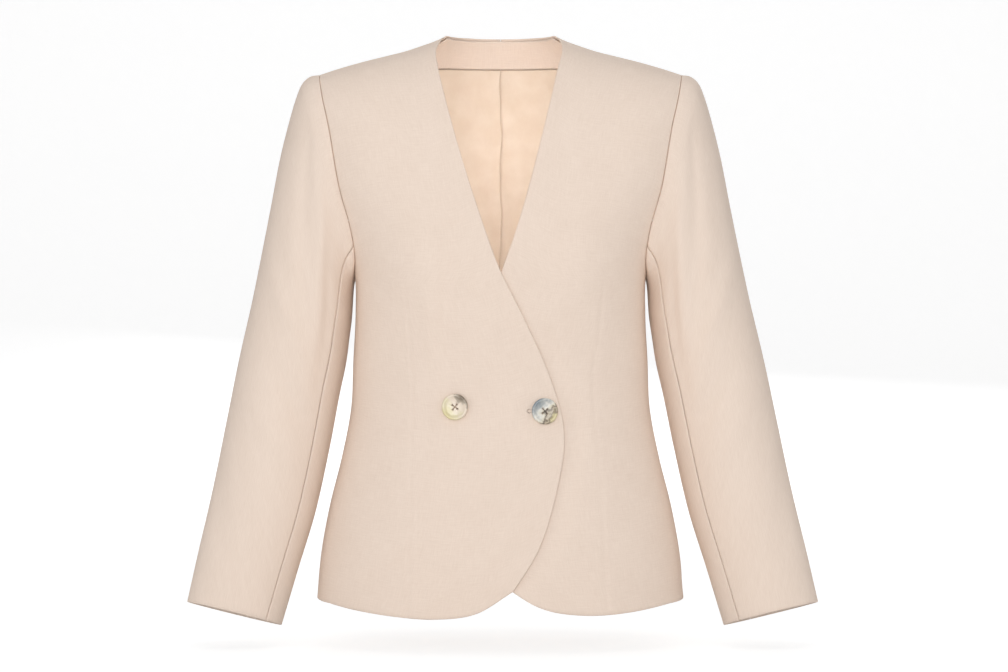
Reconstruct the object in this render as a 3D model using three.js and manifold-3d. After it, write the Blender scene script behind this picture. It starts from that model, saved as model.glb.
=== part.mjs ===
// Collarless double-breasted jacket, filled out as if worn, with no wearer inside.
// Millimetres, +Z up. The jacket faces -Y; the wearer's right side is at -X.
// The origin lies midway between the shoulders, on the line where they carry the jacket.
import * as THREE from 'three';
import { mergeVertices } from 'three/addons/utils/BufferGeometryUtils.js';
import Module from 'manifold-3d';

const wasm = await Module();
wasm.setup();

// ---------------------------------------------------------------- driving sizes
const SHELL_WALL = 1.6; // shell cloth with its fusing
const LINING_WALL = 1.0; // lining cloth
const SEAM_GAP = 0.3; // between two pieces along a seam
const LAP_DROP = 3.2; // how far the left front lies below the right one where they lap
const LAP_FLAT = 8; // it stays that low over this width beside the edge
const LAP_EASE = 30; // and has come up again at this distance from the edge
const FACING_LEVEL = -2; // lower edge of the neck facing
const FACING_COLUMNS = 7; // reach of the facing to each side of the centre, in back columns
const FACING_DROP = 2.8; // outer side of the neck facing, below the outside of the back
const LINING_DROP = 3.8; // outer side of the lining, below the outside of the back
const PLEAT_COLUMNS = 1; // columns of the left lining that are tucked under the right one
const PLEAT_DROP = 1.2; // how far that part lies nearer to the back
const NECK_POINT = 63; // neck end of the shoulder seam, from the centre
const BACK_NECK_LEVEL = 30; // top edge of the back neck at the centre
const BACK_NECK_FALL = 3; // and how much lower it meets the neck points
const BACK_HEM_LEVEL = -592;
const SIDE_HEM_LEVEL = -590;
const RIGHT_CUFF_SHIFT = 5; // the right sleeve hangs this much nearer to the body at the cuff
const BUTTON_DIAMETER = 28;
const BUTTON_THICKNESS = 4.4;
const BUTTON_SEAT = 0.8; // back of a button above the outside of the cloth

// A table is a list of rows under named columns.
function table(columns, rows) {
  return rows.map((row) => Object.fromEntries(columns.map((name, i) => [name, row[i]])));
}

// Rings of the torso from below the hem up to the shoulder ridge. squareness bends the ring
// from an ellipse (2) to a squarer form. ridge_share is how far a ring takes the shoulder slope.
const TORSO = table(
  ['level', 'half_width', 'front_depth', 'back_depth', 'squareness', 'ridge_share'],
  [
    [-640, 204, 124, 120, 2.4, 0],
    [-590, 201, 121, 117, 2.4, 0],
    [-540, 196.5, 117, 112, 2.4, 0],
    [-488, 187, 112, 103, 2.4, 0],
    [-436, 174, 107, 91, 2.4, 0],
    [-383, 164, 103, 82, 2.4, 0],
    [-330, 161.5, 105, 82, 2.4, 0],
    [-280, 159, 110, 89, 2.45, 0],
    [-235, 160, 113, 96, 2.55, 0.02],
    [-190, 171, 111, 101, 2.8, 0.15],
    [-145, 186, 104, 101, 3.2, 0.35],
    [-100, 197, 93, 94, 3.7, 0.6],
    [-62, 204, 78, 82, 4.2, 0.82],
    [-32, 209, 58, 63, 4.6, 0.95],
    [-10, 212, 32, 36, 4.8, 1],
    [0, 213, 0, 0, 4.8, 1],
  ],
);
const RIDGE_STEP = TORSO.length - 1;

// Height of the shoulder line at a distance from the centre, with the rise to the neck.
const SHOULDER = table(
  ['across', 'height'],
  [
    [0, 66], [20, 61], [40, 46], [54, 33], [62, 25.5], [72, 20.5], [86, 15.5],
    [104, 9.5], [125, 4.2], [150, -2], [175, -9], [200, -17], [213, -21],
  ],
);

// Fullness that the front darts give below the chest.
const CHEST = { across: 92, level: -222, lift: 6, spread: 52, reach: 62 };

// Edge of the right front from the neck point down the V, over the lap and round the
// corner into the hem, as seen from the front.
const RIGHT_EDGE = table(
  ['across', 'level'],
  [
    [-NECK_POINT, 26], [-70, 8], [-67, -15], [-47.5, -91], [-19, -182], [0.5, -235],
    [24, -282], [56, -355], [68.5, -409], [60, -470], [41, -530], [13.5, -574],
    [-26, -597.5], [-69, -603.5],
  ],
);
const RIGHT_CORNER = 11; // row of RIGHT_EDGE where the front edge counts as turning into the hem
const RIGHT_HEM = table(
  ['across', 'level'],
  [[-69, -603.5], [-112, -601.5], [-155, -596.5], [-186, -591.5]],
);

// Edge of the left front: the same V mirrored, then on under the right front.
const LEFT_EDGE = table(
  ['across', 'level'],
  [
    [NECK_POINT, 26], [67.5, 10], [62, -15], [45, -87], [21, -177], [1.2, -233.5],
    [-14, -268], [-40, -330], [-56, -400], [-48, -470], [-28, -530], [-4, -561],
  ],
);
const LEFT_HEM = table(
  ['across', 'level'],
  [[-4, -561], [14, -575], [37, -589], [58, -596], [95, -600], [138, -598], [184, -591.5]],
);

// Armhole: turn runs from the shoulder point (0) down to the underarm (180). The angles
// say where the loop crosses the torso, from the centre front and from the centre back.
const ARMHOLE = table(
  ['turn', 'front_angle', 'back_angle'],
  [
    [0, 50.6, 50.6], [40, 50, 50.5], [70, 51, 51.5], [100, 56.3, 55],
    [130, 62.8, 61], [150, 69.5, 68], [165, 78.5, 78], [180, 90, 90],
  ],
);
const ARMHOLE_TOP = -17;
const UNDERARM = -238;
const ARMHOLE_OUTWARD = new THREE.Vector3(0.983, 0, -0.182);

// Sections of a sleeve from the armhole to the cuff: the outer and the inner point as
// across and level, how far forward the middle lies, half of the depth, and how far the
// front of the section is raised.
const SLEEVE = table(
  ['outer_across', 'outer_level', 'inner_across', 'inner_level', 'forward', 'depth', 'front_rise'],
  [
    [199, -17, 160.6, -238, 0, 66, 0],
    [208.5, -18.5, 160.9, -242, 0, 66.5, 0],
    [217, -25.5, 161.2, -246, 0, 66.5, 0],
    [223, -38, 161.5, -251, 0, 66, 0],
    [231, -64, 161.9, -259, 0, 65.5, 0],
    [242, -108, 162.4, -270, 0, 64.5, 0],
    [252, -160, 163.6, -285, 1, 63, 0],
    [262.5, -212, 166.5, -305, 2, 61, 0],
    [274, -266, 171, -334, 3, 58.5, 0],
    [289, -330, 179.5, -372, 6, 55.5, 0.5],
    [302.5, -395, 190, -425, 10, 52, 1.5],
    [319, -475, 205.5, -494, 17, 48, 3],
    [334, -540, 224.5, -556, 25, 44, 4.5],
    [345.5, -593, 243, -618, 33, 40, 6],
  ],
);
const CUFF_STEP = SLEEVE.length - 1;
const HEAD_STEPS = 5; // over these sections the sleeve leaves the form of the armhole
const FRONT_SLEEVE_SEAM = 136; // degrees from the outer side, round by the front
const BACK_SLEEVE_SEAM = -112; // and round by the back

const BUTTONS = table(
  ['name', 'across', 'level', 'material'],
  [
    ['button_fastening', 47, -383.5, 'horn'],
    ['button_decorative', -48, -379, 'pale_horn'],
  ],
);

// Mesh steps of each wall.
const FRONT_COLUMNS = 12;
const FRONT_ROWS = 21;
const BACK_COLUMNS = 12;
const BACK_ROWS = 20;
const NECK_COLUMNS = 5; // columns of a back panel that end at the neckline
const UNDERARM_SHARE = 0.56; // part of a panel's side that lies below the underarm
const TOP_CROWDING = 0.4; // how much closer the rows lie towards the shoulder
const FACING_ROW_SHARES = [0, 0.35, 0.7, 1]; // rows of the facing between its two edges
const LINING_HEM_ROW = 0.47; // back row at which the lining starts above the hem
const LINING_SIDE_STOP = 0.3; // part of a column left free at the side seam
const TOP_SLEEVE_COLUMNS = 16;
const UNDER_SLEEVE_COLUMNS = 7;
const SLEEVE_STOPS = [0, 0.5, 1, 1.6, 2.3, 3, 3.8, 4.8, 6, 7, 8, 9, 10, 11, 12, 13];

const MATERIALS = {
  shell: new THREE.MeshStandardMaterial({ color: 0xeadacb, roughness: 0.9, metalness: 0 }),
  lining: new THREE.MeshStandardMaterial({ color: 0xe2cdb9, roughness: 0.55, metalness: 0 }),
  horn: new THREE.MeshStandardMaterial({ color: 0x8f8578, roughness: 0.35, metalness: 0 }),
  pale_horn: new THREE.MeshStandardMaterial({ color: 0xd9c7ae, roughness: 0.4, metalness: 0 }),
};

// ---------------------------------------------------------------- curves and surfaces
const radians = THREE.MathUtils.degToRad;
const smooth = THREE.MathUtils.smoothstep;

// Smooth curve through one column of a table, against another column or the row number.
function curveValue(rows, column, at, against = null, flatEnd = false) {
  const place = (i) => (against === null ? i : rows[i][against]);
  const last = rows.length - 1;
  const downwards = place(last) < place(0) ? -1 : 1;
  let i = 0;
  while (i < last - 1 && downwards * at >= downwards * place(i + 1)) i += 1;
  const slope = (k) => {
    if (k === last && flatEnd) return 0;
    const before = Math.max(k - 1, 0);
    const after = Math.min(k + 1, last);
    return (rows[after][column] - rows[before][column]) / (place(after) - place(before));
  };
  const width = place(i + 1) - place(i);
  const t = THREE.MathUtils.clamp((at - place(i)) / width, 0, 1);
  const t2 = t * t;
  const t3 = t2 * t;
  return (2 * t3 - 3 * t2 + 1) * rows[i][column] + (t3 - 2 * t2 + t) * width * slope(i)
    + (3 * t2 - 2 * t3) * rows[i + 1][column] + (t3 - t2) * width * slope(i + 1);
}

function ringValue(column, step) {
  const flatEnd = column === 'level' || column === 'half_width';
  return curveValue(TORSO, column, step, null, flatEnd);
}

function shoulderHeight(across) {
  return curveValue(SHOULDER, 'height', Math.abs(across), 'across');
}

// Reach of a rounded square of unit size along the sine direction of an angle.
function squarish(angle, squareness) {
  const s = Math.abs(Math.sin(angle));
  const c = Math.abs(Math.cos(angle));
  return s / (s ** squareness + c ** squareness) ** (1 / squareness);
}

// Point of the torso. angle: 0 centre front, 90 side, 180 centre back, negative on the
// wearer's right; past 180 it runs on over the centre back. step counts the rings of TORSO.
function torsoPoint(turned, step) {
  const angle = turned - 360 * Math.round(turned / 360);
  const side = angle < 0 ? -1 : 1;
  const size = Math.abs(angle);
  const back = size > 90;
  const turn = radians(back ? 180 - size : size);
  const squareness = ringValue('squareness', step);
  const depth = ringValue(back ? 'back_depth' : 'front_depth', step);
  const x = side * ringValue('half_width', step) * squarish(turn, squareness);
  const z = ringValue('level', step) + ringValue('ridge_share', step) * shoulderHeight(x);
  let y = depth * squarish(Math.PI / 2 - turn, squareness) * (back ? 1 : -1);
  if (!back) {
    const sideways = ((Math.abs(x) - CHEST.across) / CHEST.spread) ** 2;
    const upwards = ((z - CHEST.level) / CHEST.reach) ** 2;
    y -= CHEST.lift * Math.exp(-sideways - upwards);
  }
  return new THREE.Vector3(x, y, z);
}

function halfway(low, high, tooLow) {
  for (let i = 0; i < 40; i += 1) {
    const middle = (low + high) / 2;
    if (tooLow(middle)) low = middle;
    else high = middle;
  }
  return (low + high) / 2;
}

// Ring step at which the torso reaches a level, on the line of an angle.
function stepAtLevel(angle, level) {
  return halfway(0, RIDGE_STEP, (step) => torsoPoint(angle, step).z < level);
}

// Angle and step of the torso point seen at (across, level) from the front or the back.
function spot(across, level, back = false) {
  const step = halfway(0, RIDGE_STEP, (s) => (
    ringValue('level', s) + ringValue('ridge_share', s) * shoulderHeight(across) < level
  ));
  const squareness = ringValue('squareness', step);
  const share = Math.min(Math.abs(across) / ringValue('half_width', step), 1);
  const rest = (1 - share ** squareness) ** (1 / squareness);
  const turn = THREE.MathUtils.radToDeg(Math.atan2(share, rest));
  const angle = (back ? 180 - turn : turn) * (across < 0 ? -1 : 1);
  return [angle, step];
}

// Curve through table rows as a function of 0..1 along its length.
function outline(rows) {
  const points = rows.map((row) => new THREE.Vector3(row.across, row.level, 0));
  const curve = new THREE.CatmullRomCurve3(points, false, 'centripetal');
  return (share) => {
    const p = curve.getPointAt(THREE.MathUtils.clamp(share, 0, 1));
    return [p.x, p.y];
  };
}

// Four-sided patch between boundary functions that each give an angle and a step.
function patch(inner, outer, bottom, top) {
  return (u, v) => [0, 1].map((k) => (
    (1 - u) * inner(v)[k] + u * outer(v)[k] + (1 - v) * bottom(u)[k] + v * top(u)[k]
    - (1 - u) * (1 - v) * bottom(0)[k] - u * (1 - v) * bottom(1)[k]
    - (1 - u) * v * top(0)[k] - u * v * top(1)[k]
  ));
}

function surfaceNormal(surface, a, b, outwards) {
  const e = 0.02;
  const alongA = surface(a + e, b).sub(surface(a - e, b));
  const alongB = surface(a, b + e).sub(surface(a, b - e));
  const normal = alongA.cross(alongB).normalize();
  return normal.dot(outwards(surface(a, b))) < 0 ? normal.negate() : normal;
}

function torsoOutwards(point) {
  return new THREE.Vector3(point.x * 0.5, point.y * 1.5, Math.max(point.z + 60, 0));
}

// Point of the torso moved down from its outer side by drop.
function torsoBelow(angle, step, drop) {
  const inside = Math.min(step, RIDGE_STEP - 1e-6);
  const normal = surfaceNormal(torsoPoint, angle, inside, torsoOutwards);
  return torsoPoint(angle, step).addScaledVector(normal, -drop);
}

// Closed wall between an outer and an inner grid of points.
function wall(outer, inner) {
  const rows = outer.length;
  const columns = outer[0].length;
  const positions = [];
  const index = [];
  for (const side of [outer, inner]) {
    for (const row of side) {
      for (const p of row) positions.push(p.x, p.y, p.z);
    }
  }
  const at = (side, r, c) => (side * rows + r) * columns + c;
  const point = (i) => new THREE.Vector3().fromArray(positions, i * 3);
  // A quad is folded along its shorter diagonal, so that stacked walls fold alike.
  const quad = (a, b, c, d) => {
    const straight = point(a).distanceTo(point(c)) <= point(b).distanceTo(point(d)) + 1e-4;
    index.push(...(straight ? [a, b, c, a, c, d] : [b, c, d, b, d, a]));
  };
  for (let r = 0; r < rows - 1; r += 1) {
    for (let c = 0; c < columns - 1; c += 1) {
      quad(at(0, r, c), at(0, r, c + 1), at(0, r + 1, c + 1), at(0, r + 1, c));
      quad(at(1, r, c), at(1, r + 1, c), at(1, r + 1, c + 1), at(1, r, c + 1));
    }
  }
  for (let c = 0; c < columns - 1; c += 1) {
    quad(at(0, 0, c), at(1, 0, c), at(1, 0, c + 1), at(0, 0, c + 1));
    quad(at(0, rows - 1, c), at(0, rows - 1, c + 1), at(1, rows - 1, c + 1), at(1, rows - 1, c));
  }
  for (let r = 0; r < rows - 1; r += 1) {
    quad(at(0, r, 0), at(0, r + 1, 0), at(1, r + 1, 0), at(1, r, 0));
    quad(at(0, r, columns - 1), at(1, r, columns - 1), at(1, r + 1, columns - 1),
      at(0, r + 1, columns - 1));
  }
  return facingOut(positions, index);
}

// Geometry from corner positions and triangles, turned so that its faces point out.
function facingOut(positions, index) {
  let volume = 0;
  const corner = (i) => new THREE.Vector3().fromArray(positions, index[i] * 3);
  for (let i = 0; i < index.length; i += 3) {
    volume += corner(i).dot(corner(i + 1).cross(corner(i + 2)));
  }
  const turned = volume < 0 ? [...index].reverse() : index;
  const geometry = new THREE.BufferGeometry();
  geometry.setAttribute('position', new THREE.Float32BufferAttribute(positions, 3));
  geometry.setIndex(turned);
  geometry.computeVertexNormals();
  return geometry;
}

function grid(rows, columns, pointAt) {
  return Array.from({ length: rows + 1 }, (_, r) => (
    Array.from({ length: columns + 1 }, (_unused, c) => pointAt(c / columns, r / rows))
  ));
}

const jacket = new THREE.Group();

function add(name, geometry, material) {
  const mesh = new THREE.Mesh(geometry, MATERIALS[material]);
  mesh.name = name;
  jacket.add(mesh);
  return mesh;
}

// ---------------------------------------------------------------- front and back panels
// Angle margins that leave the seam gap where two panels meet.
const SIDE_MARGIN = 0.1;
const CENTRE_MARGIN = 0.08;
const SHOULDER_MARGIN = 0.005;

// Rows lie closer together towards the shoulder.
function crowd(v) {
  return v + TOP_CROWDING * v * (1 - v);
}

// Armhole point of one side as angle and step, on the front or the back of the torso.
function armholeSpot(side, back, turn) {
  const column = back ? 'back_angle' : 'front_angle';
  const size = curveValue(ARMHOLE, column, turn, 'turn');
  const level = (ARMHOLE_TOP + UNDERARM) / 2
    + ((ARMHOLE_TOP - UNDERARM) / 2) * Math.cos(radians(turn));
  const angle = side * (back ? 180 - size : size);
  const step = turn < 1 ? RIDGE_STEP : stepAtLevel(angle, level);
  return [angle, Math.min(step, RIDGE_STEP - SHOULDER_MARGIN)];
}

// Side of a panel: up the side seam, then round the armhole to the shoulder point.
function panelSide(side, back) {
  const seam = side * (back ? 90 + SIDE_MARGIN : 90 - SIDE_MARGIN);
  const hem = stepAtLevel(seam, SIDE_HEM_LEVEL);
  const underarm = stepAtLevel(seam, UNDERARM);
  return (v) => {
    if (v <= UNDERARM_SHARE) return [seam, hem + (underarm - hem) * (v / UNDERARM_SHARE)];
    const turn = 180 * (1 - (v - UNDERARM_SHARE) / (1 - UNDERARM_SHARE));
    const [angle, step] = armholeSpot(side, back, turn);
    const limit = 90 - SIDE_MARGIN;
    const clear = back ? Math.max(Math.abs(angle), 180 - limit) : Math.min(Math.abs(angle), limit);
    return [side * clear, step];
  };
}

// Shoulder seam of a front or back panel from the neck point to the shoulder point.
function shoulderSeam(side, back) {
  const [neck] = spot(side * NECK_POINT, shoulderHeight(NECK_POINT), back);
  const [tip] = armholeSpot(side, back, 0);
  return (u) => [neck + (tip - neck) * u, RIDGE_STEP - SHOULDER_MARGIN];
}

function frontPanel(side, edgeRows, hemRows, dropAt) {
  const edge = outline([...edgeRows].reverse());
  const hem = outline(hemRows);
  const sideEdge = panelSide(side, false);
  const seam = shoulderSeam(side, false);
  const hemEnd = hemRows[hemRows.length - 1];
  const inner = (v) => {
    const [angle, step] = spot(...edge(v));
    return [angle, Math.min(step, RIDGE_STEP - SHOULDER_MARGIN)];
  };
  const bottom = (u) => {
    const reach = 0.93; // the outlined part of the hem; the rest runs on to the side seam
    if (u < reach) return spot(...hem(u / reach));
    const start = spot(hemEnd.across, hemEnd.level);
    const end = sideEdge(0);
    const t = (u - reach) / (1 - reach);
    return [start[0] + (end[0] - start[0]) * t, start[1] + (end[1] - start[1]) * t];
  };
  const inside = patch(inner, sideEdge, bottom, seam);
  const layer = (drop) => grid(FRONT_ROWS, FRONT_COLUMNS, (u, v) => {
    const [angle, step] = inside(u, crowd(v));
    const top = torsoPoint(angle, step);
    return torsoBelow(angle, step, drop + dropAt(top));
  });
  return wall(layer(0), layer(SHELL_WALL));
}

const rightEdge = RIGHT_EDGE.slice(0, RIGHT_CORNER + 1);
const rightHem = [...RIGHT_EDGE.slice(RIGHT_CORNER), ...RIGHT_HEM.slice(1)];
add('right_front', frontPanel(-1, rightEdge, rightHem, () => 0), 'shell');

// The left front dips under the right one, and comes up again beside its edge.
function leftDrop(point) {
  const edge = curveValue(RIGHT_EDGE, 'across', point.z, 'level');
  return LAP_DROP * (1 - smooth(point.x - edge, LAP_FLAT, LAP_EASE));
}
add('left_front', frontPanel(1, LEFT_EDGE, LEFT_HEM, leftDrop), 'shell');

// Region of one half of the back, as a patch of angle and step.
function backPatch(side, centreMargin, outerSide) {
  const top = backTop(side, centreMargin);
  const centre = side * (180 - centreMargin);
  const low = stepAtLevel(centre, BACK_HEM_LEVEL);
  const [, high] = top(0);
  const start = outerSide(0);
  const inner = (v) => [centre, low + (high - low) * v];
  const bottom = (u) => [centre + (start[0] - centre) * u, low + (start[1] - low) * u];
  return patch(inner, outerSide, bottom, top);
}

// Back neckline, then shoulder seam: NECK_COLUMNS of the columns belong to the neckline.
function backTop(side, centreMargin) {
  const seam = shoulderSeam(side, true);
  const neckShare = NECK_COLUMNS / BACK_COLUMNS;
  return (u) => {
    if (u >= neckShare) return seam((u - neckShare) / (1 - neckShare));
    const share = u / neckShare;
    const level = BACK_NECK_LEVEL - BACK_NECK_FALL * share ** 4;
    const [angle, step] = spot(side * NECK_POINT * share, level, true);
    const clear = Math.min(Math.abs(angle), 180 - centreMargin);
    return [side * clear, Math.min(step, RIDGE_STEP - SHOULDER_MARGIN)];
  };
}

for (const [side, word] of [[-1, 'right'], [1, 'left']]) {
  const region = backPatch(side, CENTRE_MARGIN, panelSide(side, true));
  const layer = (drop) => grid(BACK_ROWS, BACK_COLUMNS, (u, v) => (
    torsoBelow(...region(u, crowd(v)), drop)
  ));
  add(`back_${word}`, wall(layer(0), layer(SHELL_WALL)), 'shell');
}

// ---------------------------------------------------------------- facing and lining
// The whole back as one grid, from the wearer's left side seam (-BACK_COLUMNS) over the
// centre (0) to the right one, so that what lies inside it keeps its form.
function backSheet(drop) {
  const halves = [1, -1].map((side) => backPatch(side, 0, panelSide(side, true)));
  return grid(BACK_ROWS, 2 * BACK_COLUMNS, (u, v) => {
    const across = 2 * u - 1;
    const region = halves[across < 0 ? 0 : 1];
    const [angle, step] = region(Math.abs(across), crowd(v));
    const real = Math.abs(across) < 1e-9 ? 180 : angle;
    return torsoBelow(real, step, drop);
  });
}
const BACK_OUTSIDE = backSheet(0);
const BACK_UNIT = backSheet(1);

// Point of the back at a column and a row, both with fractions, and a drop inwards.
function insideBack(column, row, drop) {
  const c = Math.min(Math.floor(column + BACK_COLUMNS), 2 * BACK_COLUMNS - 1);
  const r = Math.min(Math.floor(row), BACK_ROWS - 1);
  const u = column + BACK_COLUMNS - c;
  const v = row - r;
  const blend = (sheet) => {
    const low = sheet[r][c].clone().lerp(sheet[r][c + 1], u);
    const high = sheet[r + 1][c].clone().lerp(sheet[r + 1][c + 1], u);
    return low.lerp(high, v);
  };
  const outside = blend(BACK_OUTSIDE);
  return outside.clone().lerp(blend(BACK_UNIT), drop);
}

// Whole numbers between two ends, with the ends themselves.
function stops(from, to) {
  const list = [from];
  for (let n = Math.floor(from) + 1; n < to - 1e-6; n += 1) list.push(n);
  list.push(to);
  return list;
}

function insidePiece(columns, rowsAt, dropAt, thickness) {
  const layer = (extra) => rowsAt(0).map((_, i) => (
    columns.map((column) => (
      insideBack(column, rowsAt(column)[i], dropAt(column) + extra)
    ))
  ));
  return wall(layer(0), layer(thickness));
}

const FACING_TOP_ROW = BACK_ROWS - 0.1;
const LINING_TOP_ROW = BACK_ROWS - 0.3;

// Row of the back at which a column comes up to a level.
function rowAtLevel(column, level) {
  return halfway(BACK_ROWS / 2, LINING_TOP_ROW, (row) => insideBack(column, row, 0).z < level);
}

add('back_neck_facing', insidePiece(
  stops(-FACING_COLUMNS, FACING_COLUMNS),
  (column) => {
    const foot = rowAtLevel(column, FACING_LEVEL);
    return FACING_ROW_SHARES.map((share) => foot + (FACING_TOP_ROW - foot) * share);
  },
  () => FACING_DROP,
  SHELL_WALL,
), 'shell');

// The lining fills the back below the facing, and beside it up to the shoulder. Its left
// half is tucked under the right half at the centre, which makes the pleat.
const liningTopLevel = FACING_LEVEL - 2 * SEAM_GAP;
const lastWholeRow = Math.floor(rowAtLevel(FACING_COLUMNS, liningTopLevel)) - 1;
function liningRows(column) {
  const beside = smooth(Math.abs(column), FACING_COLUMNS, FACING_COLUMNS + 1);
  const top = rowAtLevel(column, liningTopLevel) * (1 - beside) + LINING_TOP_ROW * beside;
  return [LINING_HEM_ROW, ...stops(1, lastWholeRow), (top + lastWholeRow) / 2, top];
}
const foldColumn = 0.02; // the right half ends just past the centre
const sideColumn = BACK_COLUMNS - LINING_SIDE_STOP;
const tuckStart = -0.8; // from here to the fold the left half sinks under the right one
const tuckEnd = -0.05;
function leftLiningDrop(column) {
  return LINING_DROP - PLEAT_DROP * smooth(column, tuckStart, tuckEnd);
}
add('back_lining_right', insidePiece(
  stops(foldColumn, sideColumn), liningRows, () => LINING_DROP, LINING_WALL,
), 'lining');
add('back_lining_left', insidePiece(
  stops(-sideColumn, PLEAT_COLUMNS), liningRows, leftLiningDrop, LINING_WALL,
), 'lining');

// ---------------------------------------------------------------- sleeves
// Armhole loop of one side by turn: 0 shoulder, 90 front, 180 underarm, 270 back.
function armholePoint(side, turn) {
  const round = ((turn % 360) + 360) % 360;
  const back = round > 180;
  const [angle, step] = armholeSpot(side, back, back ? 360 - round : round);
  return torsoPoint(angle, step);
}

function sectionPoint(side, turn, step) {
  const value = (column) => curveValue(SLEEVE, column, step);
  const a = radians(turn);
  const reach = Math.cos(a);
  const middle = (value('outer_across') + value('inner_across')) / 2;
  const middleLevel = (value('outer_level') + value('inner_level')) / 2;
  const halfAcross = (value('outer_across') - value('inner_across')) / 2;
  const halfLevel = (value('outer_level') - value('inner_level')) / 2;
  const nearer = side < 0 ? RIGHT_CUFF_SHIFT * smooth(step, HEAD_STEPS, CUFF_STEP + 1) : 0;
  return new THREE.Vector3(
    side * (middle + halfAcross * reach - nearer),
    -value('forward') - value('depth') * Math.sin(a),
    middleLevel + halfLevel * reach + value('front_rise') * Math.sin(a),
  );
}

// Sleeve surface: near the armhole the sections take its true form.
function sleevePoint(side, turn, step) {
  const point = sectionPoint(side, turn, Math.max(step, 0));
  const hold = 1 - smooth(step, 0, HEAD_STEPS);
  if (hold > 0) {
    const start = armholePoint(side, turn);
    start.x += side * ARMHOLE_OUTWARD.x * SEAM_GAP;
    start.z += ARMHOLE_OUTWARD.z * SEAM_GAP;
    point.addScaledVector(start.sub(sectionPoint(side, turn, 0)), hold);
  }
  return point;
}

function sleevePiece(side, from, to, columns) {
  const meanRadius = 55;
  const margin = THREE.MathUtils.radToDeg(SEAM_GAP / 2 / meanRadius);
  const layer = (drop) => SLEEVE_STOPS.map((step) => (
    Array.from({ length: columns + 1 }, (_, c) => {
      const turn = from + margin + (to - from - 2 * margin) * (c / columns);
      const near = Math.min(Math.max(step, 0.05), CUFF_STEP - 0.05);
      const surface = (t, s) => sleevePoint(side, t, s);
      const axis = sectionPoint(side, 0, near).add(sectionPoint(side, 180, near)).multiplyScalar(0.5);
      const normal = surfaceNormal(surface, turn, near, (p) => p.clone().sub(axis));
      return sleevePoint(side, turn, step).addScaledVector(normal, -drop);
    })
  ));
  return wall(layer(0), layer(SHELL_WALL));
}

for (const [side, word] of [[-1, 'right'], [1, 'left']]) {
  add(
    `${word}_top_sleeve`,
    sleevePiece(side, BACK_SLEEVE_SEAM, FRONT_SLEEVE_SEAM, TOP_SLEEVE_COLUMNS),
    'shell',
  );
  add(
    `${word}_under_sleeve`,
    sleevePiece(side, FRONT_SLEEVE_SEAM, 360 + BACK_SLEEVE_SEAM, UNDER_SLEEVE_COLUMNS),
    'shell',
  );
}

// ---------------------------------------------------------------- buttons
function toManifold(geometry) {
  const bare = geometry.clone();
  bare.deleteAttribute('normal');
  bare.deleteAttribute('uv');
  const merged = mergeVertices(bare, 1e-4);
  return new wasm.Manifold(new wasm.Mesh({
    numProp: 3,
    vertProperties: new Float32Array(merged.attributes.position.array),
    triVerts: new Uint32Array(merged.index.array),
  }));
}

function fromManifold(solid) {
  const mesh = solid.getMesh();
  const geometry = new THREE.BufferGeometry();
  geometry.setAttribute('position', new THREE.BufferAttribute(mesh.vertProperties, 3));
  geometry.setIndex(new THREE.BufferAttribute(mesh.triVerts, 1));
  geometry.computeVertexNormals();
  return geometry;
}

// Turned button: a flat back, a raised rim round a dished middle, and four sewing holes.
function buttonGeometry() {
  const radius = BUTTON_DIAMETER / 2;
  const high = BUTTON_THICKNESS;
  const profile = table(
    ['radius', 'height'],
    [
      [0, 0], [radius * 0.86, 0], [radius * 0.97, 0.9], [radius, high * 0.55],
      [radius * 0.96, high * 0.88], [radius * 0.87, high], [radius * 0.78, high * 0.86],
      [radius * 0.68, high * 0.62], [0, high * 0.52],
    ],
  );
  const lathe = new THREE.LatheGeometry(
    profile.map((p) => new THREE.Vector2(p.radius, p.height)), 32,
  );
  lathe.rotateX(Math.PI / 2);
  let solid = toManifold(lathe);
  const holeSpacing = 2.3;
  const holeRadius = 1.1;
  for (const [x, y] of [[-1, -1], [1, -1], [-1, 1], [1, 1]]) {
    const drill = new THREE.CylinderGeometry(holeRadius, holeRadius, 3 * high, 10);
    drill.rotateX(Math.PI / 2);
    drill.translate(x * holeSpacing, y * holeSpacing, 0);
    solid = solid.subtract(toManifold(drill));
  }
  return fromManifold(solid);
}

for (const row of BUTTONS) {
  const [angle, step] = spot(row.across, row.level);
  const seat = torsoPoint(angle, step);
  const normal = surfaceNormal(torsoPoint, angle, step, torsoOutwards);
  const mesh = add(row.name, buttonGeometry(), row.material);
  mesh.position.copy(seat).addScaledVector(normal, BUTTON_SEAT);
  mesh.quaternion.setFromUnitVectors(new THREE.Vector3(0, 0, 1), normal);
}

export default jacket;
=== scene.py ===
import math

import bpy
import numpy as np
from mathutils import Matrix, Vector


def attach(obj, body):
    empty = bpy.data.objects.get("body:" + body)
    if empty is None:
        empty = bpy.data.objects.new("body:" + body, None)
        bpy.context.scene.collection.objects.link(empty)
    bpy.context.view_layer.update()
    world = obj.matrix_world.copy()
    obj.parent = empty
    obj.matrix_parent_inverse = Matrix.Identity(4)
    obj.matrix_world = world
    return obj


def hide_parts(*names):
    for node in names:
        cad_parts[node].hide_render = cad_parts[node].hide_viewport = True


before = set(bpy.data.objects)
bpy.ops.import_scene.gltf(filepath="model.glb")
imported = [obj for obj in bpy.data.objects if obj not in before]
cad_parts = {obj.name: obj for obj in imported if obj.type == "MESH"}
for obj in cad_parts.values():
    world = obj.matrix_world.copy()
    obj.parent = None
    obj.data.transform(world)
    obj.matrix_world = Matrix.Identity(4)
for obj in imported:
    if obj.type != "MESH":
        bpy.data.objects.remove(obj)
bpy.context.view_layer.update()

scene = bpy.context.scene

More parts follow.
